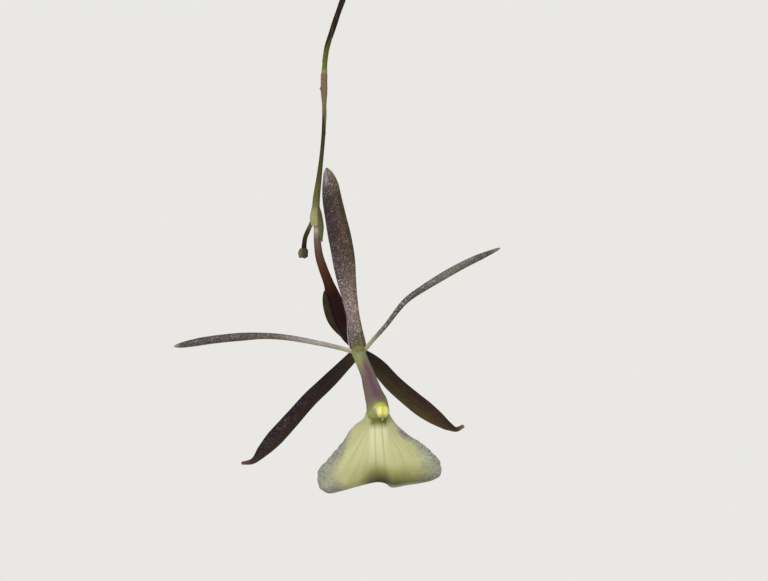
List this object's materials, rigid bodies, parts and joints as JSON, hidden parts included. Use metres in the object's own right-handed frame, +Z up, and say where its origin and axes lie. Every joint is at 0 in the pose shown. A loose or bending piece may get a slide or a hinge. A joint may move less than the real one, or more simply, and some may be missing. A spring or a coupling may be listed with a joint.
{
  "type": "potted orchid",
  "caption": "Cane-stemmed orchid in a plain clay pot, with one open bloom hanging from a thin arching flower stalk.",
  "frame": {"origin": "centre of the pot's flat underside", "axes": "+Z up; the bloom faces -Y and hangs on the -X side of the pot"},
  "size_m": [0.2266, 0.1563, 0.3175],
  "materials": {
    "clay": "unglazed fired clay, matt",
    "bark": "rough chips of conifer bark",
    "root": "silvery fleshy roots, matt",
    "leaf": "leathery green leaf and sheathed stem, satin",
    "dry_cane": "dry papery sheath, matt",
    "stalk": "thin green and brown stalk, satin",
    "bract": "thin pale green bract, matt",
    "stub": "withered, matt",
    "ovary": "dark wine red, pink towards its stalk, satin",
    "sepal": "purple-brown with fine silvery grains, satin",
    "petal": "mauve-grey with fine silvery grains, satin",
    "column": "waxy, mauve between green ends, satin",
    "anther": "waxy yellow, satin",
    "lip": "fleshy cream-yellow with grey-purple margins, satin"
  },
  "bodies": {
    "root": {"pot": "clay", "bark_medium": "bark", "rhizome_roots": "root", "leafy_stem_1": "leaf", "leafy_stem_2": "leaf", "leafy_stem_3": "leaf", "leafy_stem_4": "leaf", "leafy_stem_5": "leaf", "old_cane": "dry_cane", "peduncle": "stalk", "floral_bract_upper": "bract", "floral_bract_lower": "bract", "spent_flower_stub": "stub", "pedicel_ovary": "ovary", "dorsal_sepal": "sepal", "lateral_sepal_left": "sepal", "lateral_sepal_right": "sepal", "petal_left": "petal", "petal_right": "petal", "column": "column", "anther_cap": "anther", "lip": "lip"}
  },
  "joints": []
}
